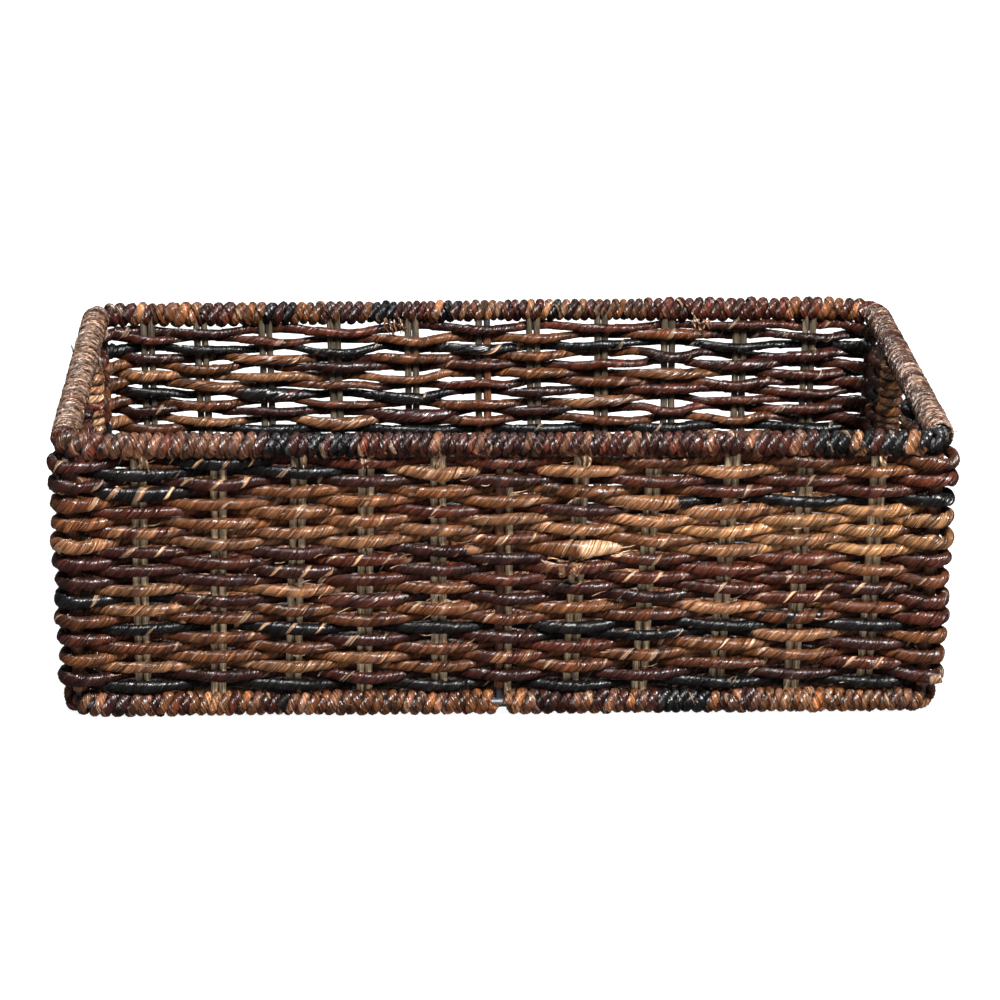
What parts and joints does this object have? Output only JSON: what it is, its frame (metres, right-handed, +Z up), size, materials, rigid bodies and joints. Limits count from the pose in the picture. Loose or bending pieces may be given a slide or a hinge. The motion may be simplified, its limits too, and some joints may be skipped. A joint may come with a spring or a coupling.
{
  "type": "open woven storage basket",
  "caption": "Open rectangular storage basket of dark woven bark strands on cane stakes and a steel frame, with wrapped rims and a hand opening in each short end.",
  "frame": {"origin": "on the floor, under the middle of the base", "axes": "+Z up, +X along the length from the left end to the right end, -Y towards the front wall"},
  "size_m": [0.61, 0.356, 0.203],
  "materials": {
    "frame_steel": "satin",
    "post_bark": "satin",
    "cane": "satin",
    "woven_strand": "gloss",
    "rim_strand": "gloss",
    "handle_twine": "satin"
  },
  "bodies": {
    "root": {"back_base_wrap": "rim_strand", "back_mid_post": "frame_steel", "back_rim_wrap": "rim_strand", "back_wall_canes": "cane", "base_canes": "cane", "base_corner_wraps": "rim_strand", "base_cross_bar": "frame_steel", "base_weave": "woven_strand", "bottom_ring_rod": "frame_steel", "corner_post_back_left": "frame_steel", "corner_post_back_right": "frame_steel", "corner_post_bark": "post_bark", "corner_post_front_left": "frame_steel", "corner_post_front_right": "frame_steel", "course_01": "woven_strand", "course_02": "woven_strand", "course_03": "woven_strand", "course_04": "woven_strand", "course_05": "woven_strand", "course_06": "woven_strand", "course_07": "woven_strand", "course_08": "woven_strand", "course_09": "woven_strand", "course_10": "woven_strand", "course_11": "woven_strand", "course_12": "woven_strand", "course_13": "woven_strand", "course_14": "woven_strand", "course_15": "woven_strand", "course_16": "woven_strand", "course_17": "woven_strand", "course_18": "woven_strand", "course_19": "woven_strand", "course_20": "woven_strand", "course_21": "woven_strand", "course_22": "woven_strand", "course_23": "woven_strand", "course_24": "woven_strand", "front_base_wrap": "rim_strand", "front_mid_post": "frame_steel", "front_rim_wrap": "rim_strand", "front_wall_canes": "cane", "left_base_wrap": "rim_strand", "left_end_canes": "cane", "left_handle_wrap": "handle_twine", "left_opening_binding": "rim_strand", "mid_post_bark": "post_bark", "right_base_wrap": "rim_strand", "right_end_canes": "cane", "right_handle_wrap": "handle_twine", "right_opening_binding": "rim_strand", "top_corner_wraps": "rim_strand", "top_ring_rod": "frame_steel"}
  },
  "joints": []
}
